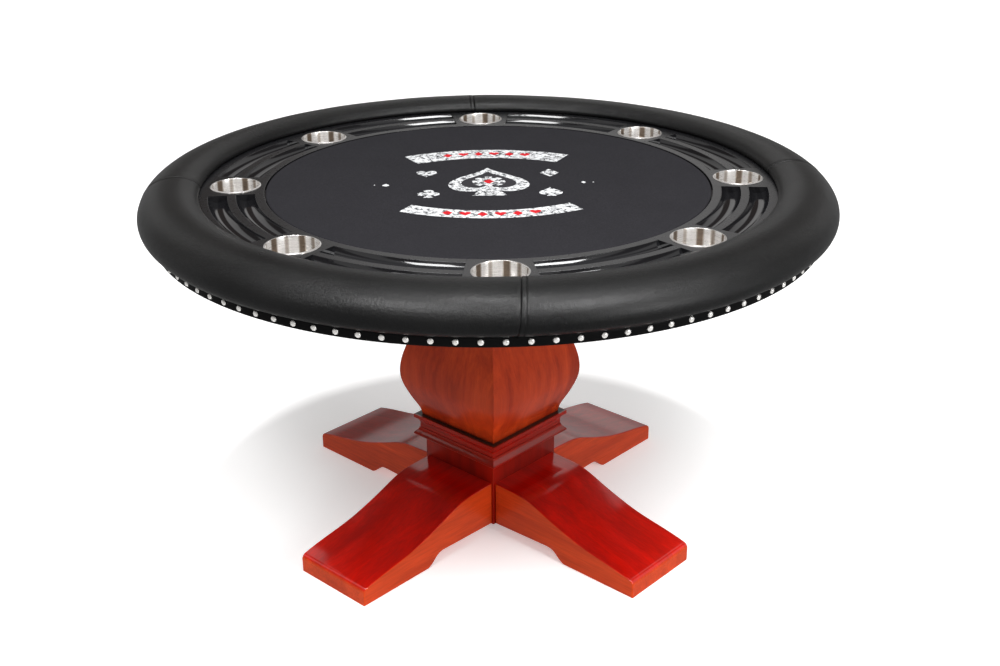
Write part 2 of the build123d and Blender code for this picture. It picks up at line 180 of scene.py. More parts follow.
def arc(centre, radius, first, last, steps):
    """Points of (radius, height) along an arc, its angles in degrees."""
    return [
        (centre[0] + radius * math.cos(math.radians(first + (last - first) * step / steps)),
         centre[1] + radius * math.sin(math.radians(first + (last - first) * step / steps)))
        for step in range(steps + 1)
    ]


# --- node helpers ------------------------------------------------------------------
class Nodes:
    """A material's node tree, with short calls for the nodes used here."""

    def __init__(self, name, room=False):
        self.material = (bpy.data.worlds if room else bpy.data.materials).new(name)
        self.material.use_nodes = True
        self.tree = self.material.node_tree
        self.shader = self.tree.nodes["Background" if room else "Principled BSDF"]

    def node(self, kind, **settings):
        made = self.tree.nodes.new(kind)
        for key, value in settings.items():
            setattr(made, key, value)
        return made

    def link(self, source, target):
        self.tree.links.new(source, target)

    def value(self, socket, amount):
        self.shader.inputs[socket].default_value = amount

    def place(self, scale=(1, 1, 1), turn=(0, 0, 0)):
        """Object coordinates, stretched and turned."""
        where = self.node("ShaderNodeTexCoord")
        mapping = self.node("ShaderNodeMapping")
        mapping.inputs["Scale"].default_value = scale
        mapping.inputs["Rotation"].default_value = turn
        self.link(where.outputs["Object"], mapping.inputs["Vector"])
        return mapping.outputs["Vector"]

    def noise(self, vector, scale, detail=3.0, rough=0.5, warp=0.0):
        made = self.node("ShaderNodeTexNoise")
        made.inputs["Scale"].default_value = scale
        made.inputs["Detail"].default_value = detail
        made.inputs["Roughness"].default_value = rough
        made.inputs["Distortion"].default_value = warp
        self.link(vector, made.inputs["Vector"])
        return made.outputs["Fac"]

    def cells(self, vector, scale):
        """Distance to the nearest edge of a pattern of cells."""
        made = self.node("ShaderNodeTexVoronoi", feature="DISTANCE_TO_EDGE")
        made.inputs["Scale"].default_value = scale
        self.link(vector, made.inputs["Vector"])
        return made.outputs["Distance"]

    def ramp(self, factor, *stops):
        """A colour ramp of (position, colour or grey) stops."""
        made = self.node("ShaderNodeValToRGB")
        elements = made.color_ramp.elements
        while len(elements) < len(stops):
            elements.new(0.5)
        for element, (position, colour) in zip(elements, stops):
            element.position = position
            if not isinstance(colour, tuple):
                colour = (colour, colour, colour)
            element.color = (*colour, 1)
        self.link(factor, made.inputs["Fac"])
        return made.outputs["Color"]

    def math(self, operation, a, b=0.0, c=0.0):
        made = self.node("ShaderNodeMath", operation=operation)
        for socket, item in zip(made.inputs, (a, b, c)):
            if isinstance(item, (int, float)):
                socket.default_value = item
            else:
                self.link(item, socket)
        return made.outputs["Value"]

    def mix(self, factor, a, b, blend="MIX"):
        made = self.node("ShaderNodeMix", data_type="RGBA", blend_type=blend)
        for socket, item in zip((made.inputs[0], made.inputs[6], made.inputs[7]), (factor, a, b)):
            if isinstance(item, tuple):
                socket.default_value = (*item, 1)
            elif isinstance(item, (int, float)):
                socket.default_value = item
            else:
                self.link(item, socket)
        return made.outputs[2]

    def bump(self, height, strength, distance, after=None):
        made = self.node("ShaderNodeBump")
        made.inputs["Strength"].default_value = strength
        made.inputs["Distance"].default_value = distance
        self.link(height, made.inputs["Height"])
        if after is not None:
            self.link(after, made.inputs["Normal"])
        return made.outputs["Normal"]


# --- materials ---------------------------------------------------------------------
def vinyl_material():
    """Black grained vinyl with a soft gloss."""
    n = Nodes("black_vinyl")
    where = n.place()
    grain = n.cells(where, 900)
    pores = n.noise(where, 2400, 2)
    folds = n.noise(where, 14, 4, 0.55)
    shade = n.noise(where, 5, 3)
    n.link(n.ramp(shade, (0.3, (0.0026, 0.0027, 0.0029)), (0.7, (0.0050, 0.0050, 0.0051))),
           n.shader.inputs["Base Color"])
    n.link(n.math("MULTIPLY_ADD", shade, 0.1, 0.24), n.shader.inputs["Roughness"])
    n.value("Specular IOR Level", 0.25)
    pebbles = n.noise(where, 170, 3, 0.6)
    soft = n.bump(pebbles, 0.6, 1.0 * MM, n.bump(folds, 0.3, 2.0 * MM))
    fine = n.bump(n.ramp(grain, (0.0, 0.0), (0.12, 1.0)), 0.5, 0.16 * MM, soft)
    n.link(n.bump(pores, 0.3, 0.08 * MM, fine), n.shader.inputs["Normal"])
    return n.material


def band_material():
    """The same vinyl pulled flat over the band, where it is duller."""
    n = Nodes("band_vinyl")
    where = n.place()
    n.value("Base Color", (0.003, 0.003, 0.0032, 1))
    n.value("Roughness", 0.40)
    n.value("Specular IOR Level", 0.06)
    pores = n.noise(where, 900, 3)
    n.link(n.bump(pores, 0.15, 0.1 * MM), n.shader.inputs["Normal"])
    return n.material


def thread_material():
    """Dark waxed thread."""
    n = Nodes("black_thread")
    where = n.place()
    n.value("Base Color", (0.006, 0.006, 0.006, 1))
    n.value("Roughness", 0.7)
    n.value("Specular IOR Level", 0.2)
    n.link(n.bump(n.noise(where, 1800, 2), 0.5, 0.2 * MM), n.shader.inputs["Normal"])
    return n.material


def rack_material():
    """Black lacquer: satin on the ledges, glossy in the channels."""
    n = Nodes("rack_lacquer")
    where = n.place()
    n.value("Base Color", (0.007, 0.007, 0.008, 1))
    split = n.node("ShaderNodeSeparateXYZ")
    n.link(where, split.inputs["Vector"])
    ledge = n.math("GREATER_THAN", split.outputs["Z"], RACK_TOP - 0.6 * MM)
    wear = n.noise(where, 60, 4, 0.6)
    satin = n.math("MULTIPLY_ADD", wear, 0.08, 0.24)
    rough = n.node("ShaderNodeMix", data_type="FLOAT")
    n.link(ledge, rough.inputs[0])
    rough.inputs[2].default_value = 0.09
    n.link(satin, rough.inputs[3])
    n.link(rough.outputs[0], n.shader.inputs["Roughness"])
    speck = n.noise(where, 700, 3)
    n.link(n.bump(speck, 0.12, 0.1 * MM), n.shader.inputs["Normal"])
    return n.material


def cloth_colour(n, where):
    """Charcoal suited cloth: a fine even weave with faint mottling."""
    fuzz = n.noise(where, 480, 4, 0.75)
    mottle = n.noise(where, 9, 4, 0.6)
    base = n.ramp(fuzz, (0.3, (0.0118, 0.0115, 0.0131)), (0.7, (0.0260, 0.0254, 0.0290)))
    return n.mix(n.ramp(mottle, (0.35, 0.0), (0.7, 0.35)), base, (0.0149, 0.0146, 0.0166))


def cloth_bump(n, where):
    weave = n.node("ShaderNodeTexWave", wave_type="BANDS", bands_direction="DIAGONAL")
    weave.inputs["Scale"].default_value = 420
    weave.inputs["Distortion"].default_value = 1.5
    weave.inputs["Detail"].default_value = 1
    n.link(where, weave.inputs["Vector"])
    ribs = n.bump(weave.outputs["Fac"], 0.25, 0.12 * MM)
    return n.bump(n.noise(where, 2600, 2), 0.35, 0.15 * MM, ribs)


def cloth_material():
    n = Nodes("charcoal_cloth")
    where = n.place()
    n.link(cloth_colour(n, where), n.shader.inputs["Base Color"])
    n.value("Roughness", 0.95)
    n.value("Specular IOR Level", 0.0)
    n.value("Sheen Weight", 0.01)
    n.value("Sheen Roughness", 0.5)
    n.link(cloth_bump(n, where), n.shader.inputs["Normal"])
    return n.material


def ink_material(name, colour, missing):
    """Printed ink that has cracked and worn off the cloth in specks."""
    n = Nodes(name)
    where = n.place()
    coarse = n.noise(where, 120, 6, 0.75)
    fine = n.noise(where, 900, 3, 0.7)
    worn = n.math("ADD", n.math("MULTIPLY", coarse, 0.7), n.math("MULTIPLY", fine, 0.3))
    gone = n.ramp(worn, (missing - 0.02, 1.0), (missing + 0.02, 0.0))
    n.link(n.mix(gone, colour, cloth_colour(n, where)), n.shader.inputs["Base Color"])
    n.value("Roughness", 0.85)
    n.value("Specular IOR Level", 0.1)
    n.link(cloth_bump(n, where), n.shader.inputs["Normal"])
    return n.material


def steel_material():
    """Spun stainless steel with painted reflections: tall pale and brown stripes stand round the wall of each
    cup in place of the room's screens seen in it.
    """
    n = Nodes("spun_steel")
    box = n.node("ShaderNodeTexCoord")
    split = n.node("ShaderNodeSeparateXYZ")
    n.link(box.outputs["Generated"], split.inputs["Vector"])
    # Painted reflections: pale and brown stripes set by the angle round the cup's axis stand in for the
    # reflected screens.
    turn = n.math("ARCTAN2", n.math("SUBTRACT", split.outputs["Y"], 0.5),
                  n.math("SUBTRACT", split.outputs["X"], 0.5))
    narrow = n.math("SINE", n.math("MULTIPLY_ADD", turn, 11, 0.4))
    wide = n.math("SINE", n.math("MULTIPLY_ADD", turn, 5, 1.3))
    painted_reflection_stripes = n.math("MULTIPLY_ADD", n.math("MULTIPLY_ADD", wide, 0.6, narrow), 0.31, 0.5)
    tone = n.ramp(painted_reflection_stripes, (0.20, (0.22, 0.17, 0.13)), (0.38, (0.62, 0.57, 0.52)),
                  (0.50, (1.0, 0.99, 0.98)))
    # Level faces, the cup's floor and rim, keep a plain grey without the painted reflections.
    facing = n.node("ShaderNodeSeparateXYZ")
    n.link(box.outputs["Normal"], facing.inputs["Vector"])
    level = n.ramp(n.math("ABSOLUTE", facing.outputs["Z"]), (0.3, 0.0), (0.8, 1.0))
    tone = n.mix(level, tone, (0.72, 0.70, 0.68))
    rings = n.noise(n.place((1, 1, 90)), 14, 4, 0.7)
    tone = n.mix(1.0, tone, n.ramp(rings, (0.3, 0.84), (0.7, 1.0)), "MULTIPLY")
    n.link(tone, n.shader.inputs["Base Color"])
    n.value("Metallic", 0.8)
    n.value("Anisotropic", 0.7)
    n.value("Anisotropic Rotation", 0.25)
    tangent = n.node("ShaderNodeTangent", direction_type="RADIAL", axis="Z")
    n.link(tangent.outputs["Tangent"], n.shader.inputs["Tangent"])
    n.link(n.math("MULTIPLY_ADD", rings, 0.08, 0.24), n.shader.inputs["Roughness"])
    n.link(n.bump(rings, 0.02, 0.1 * MM), n.shader.inputs["Normal"])
    return n.material


def nickel_material():
    n = Nodes("bright_nickel")
    where = n.place()
    spots = n.noise(where, 260, 3)
    n.link(n.ramp(spots, (0.35, (0.74, 0.72, 0.69)), (0.6, (0.90, 0.89, 0.87))),
           n.shader.inputs["Base Color"])
    n.value("Metallic", 0.45)
    n.value("Roughness", 0.16)
    n.link(n.bump(spots, 0.05, 0.2 * MM), n.shader.inputs["Normal"])
    return n.material


def cherry_material(name, stretch, tops, sides, seed):
    """Glossy red-stained cherry, its grain along the axis with the least stretch.

    tops and sides are (dark, bright) pairs for the top faces and the side faces; on the legs the sides'
    lighter orange is a painted glow of warm light, not the stain.
    """
    n = Nodes(name)
    shifted = n.node("ShaderNodeVectorMath", operation="ADD")
    shifted.inputs[1].default_value = (seed, seed * 1.7, seed * 0.6)
    n.link(n.place(stretch), shifted.inputs[0])
    where = shifted.outputs["Vector"]
    plain = n.place()
    figure = n.noise(where, 1.6, 5, 0.6, 0.8)
    fibre = n.noise(where, 16, 4, 0.65)
    clouds = n.noise(plain, 7, 3)
    facing = n.node("ShaderNodeSeparateXYZ")
    n.link(n.node("ShaderNodeTexCoord").outputs["Normal"], facing.inputs["Vector"])
    top = n.ramp(facing.outputs["Z"], (0.35, 0.0), (0.70, 1.0))
    # Side faces take the sides' tone: on the legs this is a painted orange glow.
    dark, bright = (n.mix(top, side, above) for side, above in zip(sides, tops))
    tone = n.mix(n.ramp(figure, (0.32, 0.0), (0.68, 1.0)), dark, bright)
    tone = n.mix(n.ramp(clouds, (0.3, 0.0), (0.75, 0.45)), tone, dark)
    streak = n.ramp(fibre, (0.34, 0.80), (0.6, 1.0))
    tone = n.mix(1.0, tone, streak, "MULTIPLY")
    n.link(tone, n.shader.inputs["Base Color"])
    n.value("Roughness", 0.32)
    n.value("Specular IOR Level", 0.35)
    n.value("Specular Tint", (1.0, 0.38, 0.16, 1))
    n.link(n.math("MULTIPLY_ADD", top, 0.85, 0.10), n.shader.inputs["Coat Weight"])
    n.value("Coat Roughness", 0.09)
    n.value("Coat IOR", 1.7)
    n.link(n.bump(fibre, 0.12, 0.25 * MM), n.shader.inputs["Normal"])
    n.link(n.bump(n.noise(plain, 22, 2), 0.06, 1.2 * MM), n.shader.inputs["Coat Normal"])
    return n.material


def plain_material(name, low, high, rough, scale=40, metallic=0.0):
    """Hidden or plain pieces: two tones of mottling and a light bump."""
    n = Nodes(name)
    where = n.place()
    spots = n.noise(where, scale, 4, 0.6)
    n.link(n.ramp(spots, (0.3, low), (0.7, high)), n.shader.inputs["Base Color"])
    n.value("Metallic", metallic)
    n.value("Roughness", rough)
    n.link(n.bump(spots, 0.15, 0.3 * MM), n.shader.inputs["Normal"])
    return n.material


def plywood_material():
    """Birch plywood: pale faces with thin glue lines on the edges."""
    n = Nodes("birch_plywood")
    plies = n.node("ShaderNodeTexWave", wave_type="BANDS", bands_direction="Z")
    plies.inputs["Scale"].default_value = 110
    plies.inputs["Distortion"].default_value = 0.4
    n.link(n.place(), plies.inputs["Vector"])
    grain = n.noise(n.place((3, 60, 3)), 3, 5, 0.6)
    face = n.ramp(grain, (0.3, (0.42, 0.29, 0.17)), (0.7, (0.62, 0.48, 0.31)))
    lines = n.ramp(plies.outputs["Fac"], (0.35, 0.6), (0.6, 1.0))
    n.link(n.mix(1.0, face, lines, "MULTIPLY"), n.shader.inputs["Base Color"])
    n.value("Roughness", 0.6)
    n.link(n.bump(grain, 0.2, 0.2 * MM), n.shader.inputs["Normal"])
    return n.material


BLACK_VINYL = vinyl_material()
BAND_VINYL = band_material()
THREAD = thread_material()
LACQUER = rack_material()
CLOTH = cloth_material()
INK = ink_material("off_white_ink", (0.56, 0.57, 0.58), 0.480)
INK_WHOLE = ink_material("less_worn_ink", (0.56, 0.57, 0.58), 0.36)
INK_RED = ink_material("red_ink", (0.42, 0.010, 0.016), 0.42)
INK_GAP = ink_material("bare_cloth", (0.024, 0.023, 0.026), 0.3)
STEEL = steel_material()
NICKEL = nickel_material()
PLYWOOD = plywood_material()
FOAM = plain_material("pale_foam", (0.62, 0.58, 0.44), (0.74, 0.70, 0.56), 0.9, 300)
ZINC = plain_material("zinc_steel", (0.48, 0.49, 0.50), (0.66, 0.67, 0.68), 0.32, 200, 1.0)
BLACK_STAIN_AND_SHADE = plain_material("black_stain_and_painted_shade", (0.012, 0.009, 0.008), (0.03, 0.02, 0.018), 0.3, 25)

# Stain colours, each (dark, bright); the orange pair is no stain but a painted glow on the legs' side faces.
RED = ((0.40, 0.0015, 0.0003), (0.78, 0.006, 0.0005))
ORANGE_PAINTED_GLOW = ((0.42, 0.032, 0.005), (0.68, 0.064, 0.010))
BROWN = ((0.225, 0.013, 0.0022), (0.45, 0.042, 0.006))
MAROON = ((0.15, 0.0012, 0.0003), (0.30, 0.004, 0.0006))
ALONG_X = (1, 14, 14)
ALONG_Y = (14, 1, 14)
ALONG_Z = (14, 14, 1)


def dress(node, material):
    """Give a CAD node its material."""
    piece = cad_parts[node]
    piece.data.materials.clear()
    piece.data.materials.append(material)


# --- pieces of the frame that keep their CAD shape ---------------------------------
for number in range(1, 9):
    dress(f"chip_tray_{number}", LACQUER)
    dress(f"cup_panel_{number}", LACQUER)
for number in range(1, 5):
    across = ALONG_Y if number % 2 else ALONG_X
    along = ALONG_X if number % 2 else ALONG_Y
    # The legs' side faces take the orange pair, a painted glow.
    dress(f"leg_{number}", cherry_material(f"cherry_leg_{number}", along, RED, ORANGE_PAINTED_GLOW, 3.1 * number))
    dress(f"column_panel_{number}",
          cherry_material(f"cherry_panel_{number}", ALONG_Z, BROWN, BROWN, 5.7 * number))
    dress(f"collar_moulding_{number}",
          cherry_material(f"cherry_moulding_{number}", across, MAROON, MAROON, 2.3 * number))
dress("base_block", cherry_material("cherry_block", ALONG_Z, MAROON, MAROON, 9.0))
for node in ("play_board", "column_blocks"):
    dress(node, PLYWOOD)
# Near-black boards; on the collar plate the black is also a painted shade, the dark band between the collar
# and the column.
for node in ("deck_panel", "rail_spacer", "rail_base", "collar_plate", "top_plate"):
    dress(node, BLACK_STAIN_AND_SHADE)
for node in ("rail_screws", "plate_screws", "tie_rods", "rod_nuts", "washers", "leg_bolts", "barrel_nuts"):
    dress(node, ZINC)
for node in ("rail_foam", "play_foam"):
    dress(node, FOAM)


# --- the padded rail ---------------------------------------------------------------
# The section of the vinyl, as (radius, height) in millimetres, from the tuck under its inner
# lip to the tuck above the band.
RAIL_SECTION = [
    (590.8, 747.7), (585.0, 747.6), (580.6, 749.6), (579.3, 754.0), (581.2, 759.8), (587.5, 765.9),
    (598.0, 770.9), (611.0, 774.9), (626.0, 776.4), (641.0, 775.2), (656.0, 771.4), (670.0, 765.0),
    (682.0, 756.2), (691.5, 745.0), (697.0, 733.0), (698.2, 722.0), (695.4, 712.0), (689.0, 704.8),
    (680.5, 700.3), (673.6, 697.9),
]
SECTION_STEPS = 84
FOAM_SWELL = 0.55 * MM        # slow unevenness of the foam below
WRINKLE = 0.35 * MM           # small folds that a seam draws
PUCKER_REACH = 18 * MM        # how far from a seam they fade
CREASE_DEPTH = 1.1 * MM       # the sharp dip at a seam
CREASE_WIDTH = 1.0 * MM
PULL_DEPTH = 0.5 * MM         # the wider dip round it
PULL_REACH = 5 * MM
PLEAT = 0.5 * MM              # gathers where the vinyl tucks in above the band
PLEAT_START = 0.86            # share of the section where they begin
LIP_HELD = 0.06               # share of the section over which the inner lip is held down
TUCK_HELD = 0.03              # the same at the tuck
CROWN_RADIUS = 0.64           # near the rail's highest line, in metres
SECTION_SPREAD = 0.25         # metres of the foam's bumps that lie across the section
FOLD_RISE = 0.3 * MM          # the doubled vinyl between a seam and its stitches
FOLD_EDGE = 1.2 * MM
GROOVE_DEPTH = 0.6 * MM       # the line that the stitches press in
GROOVE_WIDTH = 1.3 * MM
STITCH_OFFSET = 9.3 * MM      # from the seam to its row of stitches
STITCH_PITCH = 4.6 * MM
THREAD_RADIUS = 0.55 * MM
VINYL_THICKNESS = 1.4 * MM
SEAM_LEANS = (1.6, 0.4, -0.4, 0.7)  # degrees that each seam drifts by at the inner lip


def section_frames(section, steps):
    """Evenly spaced points of a section in metres, each with its outward normal."""
    path = even_path([(r * MM, z * MM) for r, z in smooth_path(section, 12)], steps)
    frames = []
    for index, point in enumerate(path):
        before = path[max(index - 1, 0)]
        after = path[min(index + 1, steps)]
        along = Vector((after[0] - before[0], after[1] - before[1])).normalized()
        frames.append((Vector(point), Vector((-along.y, along.x))))
    return frames


RAIL_FRAMES = section_frames(RAIL_SECTION, SECTION_STEPS)


def seam_angles(panel_arc):
    """Angles across a panel in degrees: 0.05 apart beside its two seams, up to 0.7 between."""
    near = [0.05 * step for step in range(26)]
    middle = []
    angle = near[-1]
    step = 0.08
    while angle + step < panel_arc - near[-1]:
        angle += step
        middle.append(angle)
        step = min(step * 1.12, 0.7)
    return near + middle + [panel_arc - back for back in reversed(near)]


def free_share(share):
    """How free the vinyl is: 0 at both edges of its section and 1 over the rest."""
    return min(1.0, share / LIP_HELD, (1 - share) / TUCK_HELD)


def rail_height(angle, share, edge_distance, seed):
    """How far the vinyl stands off its plain section, in metres.

    The numbers that multiply a noise's place say how many bumps go to one unit of it.
    """
    spot = polar(CROWN_RADIUS, angle, share * SECTION_SPREAD)
    foam = FOAM_SWELL * noise.noise(spot * 9 + Vector((seed, 0, 0)))
    pucker = math.exp(-edge_distance / PUCKER_REACH)
    wrinkle = WRINKLE * pucker * noise.noise(Vector((edge_distance * 50, share * 34, seed)))
    crease = -CREASE_DEPTH * math.exp(-(edge_distance / CREASE_WIDTH) ** 2)
    pull = -PULL_DEPTH * math.exp(-edge_distance / PULL_REACH)
    tuck = max(0.0, (share - PLEAT_START) / (1 - PLEAT_START))
    pleat = PLEAT * tuck * noise.noise(Vector((angle * 0.9, share * 3, seed + 4)))
    return (foam + wrinkle + crease + pull) * free_share(share) + pleat


def seam_place(seam, share):
    """Angle of a seam at a share of the section: 0 at the inner lip, 1 at the tuck."""
    return SEAM_ANGLE + 90 * seam + SEAM_LEANS[seam % 4] * (1 - share)


def rail_cover(number):
    """One sewn panel of the rail's vinyl, a quarter of the ring."""
    angles = seam_angles(90)
    points = []
    for angle in angles:
        across = angle / 90
        for index, (spot, outward) in enumerate(RAIL_FRAMES):
            share = index / SECTION_STEPS
            first = seam_place(number - 1, share)
            last = seam_place(number, share)
            here = first + (last - first) * across
            left = math.radians(here - first) * spot.x
            right = math.radians(last - here) * spot.x
            lift = rail_height(here, share, min(left, right), 7.3 * number)
            fold = FOLD_RISE * (0.5 - 0.5 * math.tanh((left - STITCH_OFFSET) / FOLD_EDGE))
            groove = -GROOVE_DEPTH * math.exp(-((left - STITCH_OFFSET) / GROOVE_WIDTH) ** 2)
            place = spot + outward * (lift + (fold + groove) * free_share(share))
            points.append(polar(place.x, here, place.y))
    faces = grid_faces(len(angles), len(RAIL_FRAMES))
    piece = make_piece(f"rail_vinyl_{number}", points, faces, BLACK_VINYL, "root")
    shell = piece.modifiers.new("thickness", "SOLIDIFY")
    shell.thickness = VINYL_THICKNESS
    shell.offset = -1
    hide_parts(f"rail_cover_{number}", "rail_foam")


def stitch_row(number):
    """The row of stitches beside a seam, each a short thread that dips in at its ends."""
    length = sum((b - a).length for (a, _), (b, _) in zip(RAIL_FRAMES, RAIL_FRAMES[1:]))
    count = int(length / STITCH_PITCH)
    sides = 6
    rises = (-0.55, 0.15, 0.35, 0.15, -0.55)  # millimetres off the vinyl, along a stitch
    points = []
    faces = []
    for stitch in range(2, count - 1):
        base = len(points)
        for step, rise in enumerate(rises):
            # A stitch covers its pitch from 0.12 to 0.88.
            share = (stitch + 0.12 + 0.19 * step) / count
            index = int(share * SECTION_STEPS)
            blend = share * SECTION_STEPS - index
            spot = RAIL_FRAMES[index][0].lerp(RAIL_FRAMES[index + 1][0], blend)
            normal = RAIL_FRAMES[index][1].lerp(RAIL_FRAMES[index + 1][1], blend).normalized()
            place = spot + normal * rise * MM
            angle = seam_place(number - 1, share) + math.degrees(STITCH_OFFSET / place.x)
            centre = polar(place.x, angle, place.y)
            out = polar(normal.x, angle, normal.y)
            side = polar(1, angle + 90, 0)
            for corner in range(sides):
                turn = 2 * math.pi * corner / sides
                points.append(centre + (out * math.cos(turn) + side * math.sin(turn)) * THREAD_RADIUS)
        faces += grid_faces(len(rises), sides, wrap_columns=True, start=base)
        faces.append(tuple(base + corner for corner in range(sides)))
        faces.append(tuple(base + (len(rises) - 1) * sides + corner for corner in reversed(range(sides))))
    make_piece(f"seam_stitches_{number}", points, faces, THREAD, "root")


for number in range(1, 5):
    rail_cover(number)
    stitch_row(number)


def skirt_band():
    """The vinyl strip round the ring, pinched in a little under every nail."""
    section = [(-2.2, 0.1), (-0.5, 0.1), (0.0, 0.9), (0.2, 4), (0.3, 9), (0.2, 14), (0.0, 17.2),
               (-0.6, 17.9), (-2.2, 17.9)]
    steps = NAIL_COUNT * 8
    points = []
    for step in range(steps):
        angle = 360 * step / steps
        phase = math.radians((angle - NAIL_PHASE) * NAIL_COUNT)
        swell = BAND_SWELL * (0.5 - 0.5 * math.cos(phase)) - BAND_PINCH
        for index, (out, up) in enumerate(section):
            free = 1 if 1 < index < len(section) - 2 else 0
            points.append(polar(BAND_RADIUS + out * MM + swell * free, angle, BAND_LOW + up * MM))
    faces = grid_faces(steps, len(section), True, True)
    piece = make_piece("band_vinyl", points, faces, BAND_VINYL, "root")
    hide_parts("skirt_band")


def nail_row():
    """Domed nails set by hand, each turned and tipped a little differently."""
    rng = random.Random(11)
    # The dome, as shares of a nail's radius and of its height.
    rings = [(1.0, 0.0), (1.0, 0.12), (0.93, 0.42), (0.80, 0.66), (0.60, 0.85), (0.34, 0.96), (0.12, 1.0)]
    sides = 20
    points = []
    faces = []
    for nail in range(NAIL_COUNT):
        angle = NAIL_PHASE + 360 * nail / NAIL_COUNT
        out = polar(1, angle, 0)
        side = polar(1, angle + 90, 0)
        lean = Vector((rng.uniform(-NAIL_TIP, NAIL_TIP), rng.uniform(-NAIL_TIP, NAIL_TIP)))
        centre = polar(BAND_RADIUS - NAIL_SINK, angle, (BAND_LOW + BAND_HIGH) / 2)
        base = len(points)
        for width, height in rings:
            for corner in range(sides):
                turn = 2 * math.pi * corner / sides
                across = width * math.cos(turn)
                up = width * math.sin(turn)
                rise = height * NAIL_HEIGHT + (across * lean.x + up * lean.y) * NAIL_RADIUS
                points.append(centre + out * rise + (side * across + Vector((0, 0, up))) * NAIL_RADIUS)
        faces += grid_faces(len(rings), sides, wrap_columns=True, start=base)
        faces.append(tuple(base + (len(rings) - 1) * sides + corner for corner in range(sides)))
        faces.append(tuple(base + corner for corner in reversed(range(sides))))
    piece = make_piece("nail_heads", points, faces, NICKEL, "root")
    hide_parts("nailheads")


skirt_band()
nail_row()


# --- cups --------------------------------------------------------------------------
def cup(number):
    """A spun cup with a stepped floor and a thin rim that slopes down to the rack."""
    low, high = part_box(f"cup_holder_{number}")
    floor = low.z / MM
    top = RACK_TOP / MM
    rim = (high.x - low.x) / 2 / MM
    inside = rim - 4.0
    outside = inside + 1.2
    # The stepped floor and its rounded corner.
    section = [(0.3, floor + 1.6), (14, floor + 1.6), (15, floor + 1.2), (30, floor + 1.2), (31, floor + 1.5)]
    section += arc((inside - 6, floor + 7.5), 6, -90, 0, 6)
    # The inner wall and the rolled rim.
    section += [(inside, top - 30), (inside, top - 6), (inside + 0.1, top - 1), (inside + 0.4, top + 1.1)]
    section += arc((inside + 1.2, top + 1.5), 0.7, 160, 62, 4)
    section += [(rim - 0.5, top + 0.75)] + arc((rim - 0.35, top + 0.4), 0.35, 60, -80, 4)
    # Down the outside and under the floor.
    section += [(outside + 0.8, top + 0.05), (outside, top - 1), (outside, floor + 6)]
    section += arc((outside - 6, floor + 6), 6, 0, -90, 6) + [(20, floor), (0.3, floor)]
    points, faces = turned([(r * MM, z * MM) for r, z in section], 96)
    centre = (low + high) / 2
    points = [point + Vector((centre.x, centre.y, 0)) for point in points]
    piece = make_piece(f"steel_cup_{number}", points, faces, STEEL, f"cup_{number}")
    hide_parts(f"cup_holder_{number}")


for number in range(1, 9):
    cup(number)


# --- the playing surface -----------------------------------------------------------
def playing_pad():
    """Cloth drawn over thin foam and round the board's edge."""
    edge = 3.2 * MM
    inner = CLOTH_RADIUS - 2.0 * MM
    # From the middle out over the rounded edge, then down and back up inside it.
    section = [(20 * MM, CLOTH_TOP), (CLOTH_RADIUS - 12 * MM, CLOTH_TOP)]
    section += arc((CLOTH_RADIUS - edge, CLOTH_TOP - edge), edge, 90, 0, 8)
    section += [(CLOTH_RADIUS, CLOTH_BOTTOM + 2 * MM), (CLOTH_RADIUS - 0.4 * MM, CLOTH_BOTTOM),
                (inner, CLOTH_BOTTOM), (inner, CLOTH_TOP - 5.4 * MM)]
    points, faces = turned(section, 360)
    piece = make_piece("playing_pad", points, faces, CLOTH, "playing_surface")
    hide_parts("play_cloth", "play_foam")


PRINT_TURN = 44.3             # degrees from +X to the print's own x
INK_THICKNESS = 0.12 * MM
# Layers of the print, each printed over the one before, in ink thicknesses.
GAP_LAYER = 1.2
CHIP_LAYER = 2.4
MARK_LAYER = 3.6


def ink(name, outlines, material):
    """Thin raised ink on the cloth, a flat plate for each (layer, outline in millimetres)."""
    points = []
    faces = []
    turn = math.radians(PRINT_TURN)
    for layer, outline in outlines:
        base = len(points)
        count = len(outline)
        for level in (-0.05 * MM, INK_THICKNESS * (1 + layer)):
            for x, y in outline:
                points.append(Vector((
                    (x * math.cos(turn) - y * math.sin(turn)) * MM,
                    (x * math.sin(turn) + y * math.cos(turn)) * MM,
                    CLOTH_TOP + level,
                )))
        faces.append(tuple(base + count + corner for corner in range(count)))
        faces.append(tuple(base + corner for corner in reversed(range(count))))
        for corner in range(count):
            after = (corner + 1) % count
            faces.append((base + corner, base + after, base + count + after, base + count + corner))
    make_piece(name, points, faces, material, "playing_surface", smooth=False)


def heart(x, y, size, flip=1):
    """Outline of a heart, or of a spade's body when flipped."""
    outline = []
    for step in range(40):
        t = 2 * math.pi * step / 40
        across = 16 * math.sin(t) ** 3
        up = 13 * math.cos(t) - 5 * math.cos(2 * t) - 2 * math.cos(3 * t) - math.cos(4 * t)
        outline.append((x + size * across / 34 * flip, y + size * (up + 2) / 30 * flip))
    return outline[::-1]


def stem(x, y, size):
    """The flared foot of a spade or a club."""
    left = [(-0.03, 0.1), (-0.06, -0.18), (-0.2, -0.5)]
    right = [(-across, up) for across, up in reversed(left)]
    return [(x + size * across, y + size * up) for across, up in left + right]


def spade(x, y, size):
    """A spade as (layer, outline) pairs, like the club and the diamond below."""
    return [(0, heart(x, y, size, -1)), (0.2, stem(x, y - size * 0.12, size))]


def disc(x, y, radius, sides=28):
    turns = [2 * math.pi * side / sides for side in range(sides)]
    return [(x + radius * math.cos(turn), y + radius * math.sin(turn)) for turn in turns]


